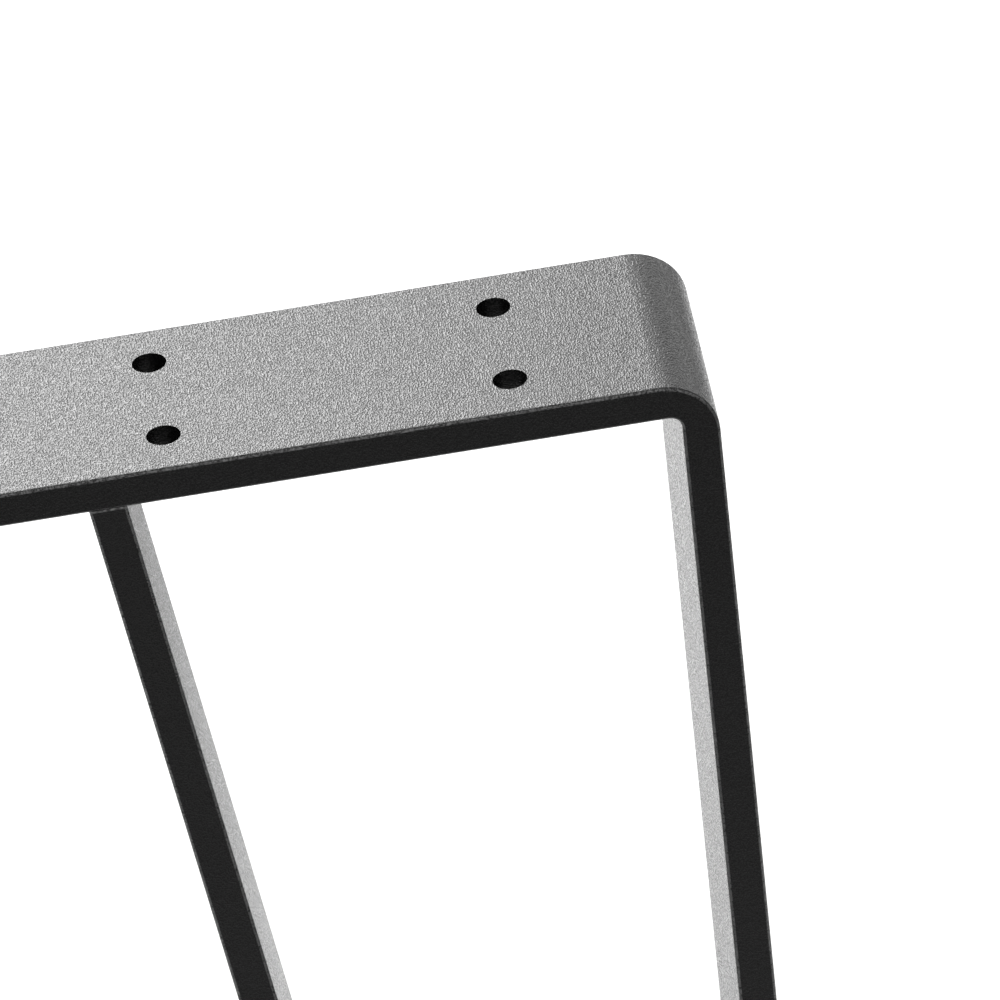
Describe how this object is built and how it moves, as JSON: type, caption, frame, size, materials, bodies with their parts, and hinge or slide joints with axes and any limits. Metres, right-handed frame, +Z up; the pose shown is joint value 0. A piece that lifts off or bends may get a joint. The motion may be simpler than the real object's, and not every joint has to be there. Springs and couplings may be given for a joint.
{
  "type": "flat bar table leg",
  "caption": "Table leg bent from flat steel bar, with a drilled mounting plate, an upright strand, a narrow foot and a slanted strand welded back under the plate.",
  "frame": {"origin": "on the floor under the middle of the mounting plate", "axes": "+Z up from the floor to the mounting plate, +X along the plate towards the bend, Y across the bar"},
  "size_m": [0.1178, 0.0402, 0.3],
  "materials": {
    "powder_coat": "fine-textured black powder coat, semi-matt",
    "coated_weld": "powder-coated weld bead"
  },
  "bodies": {
    "root": {"leg_bar": "powder_coat", "weld_beads": "coated_weld"}
  },
  "joints": []
}
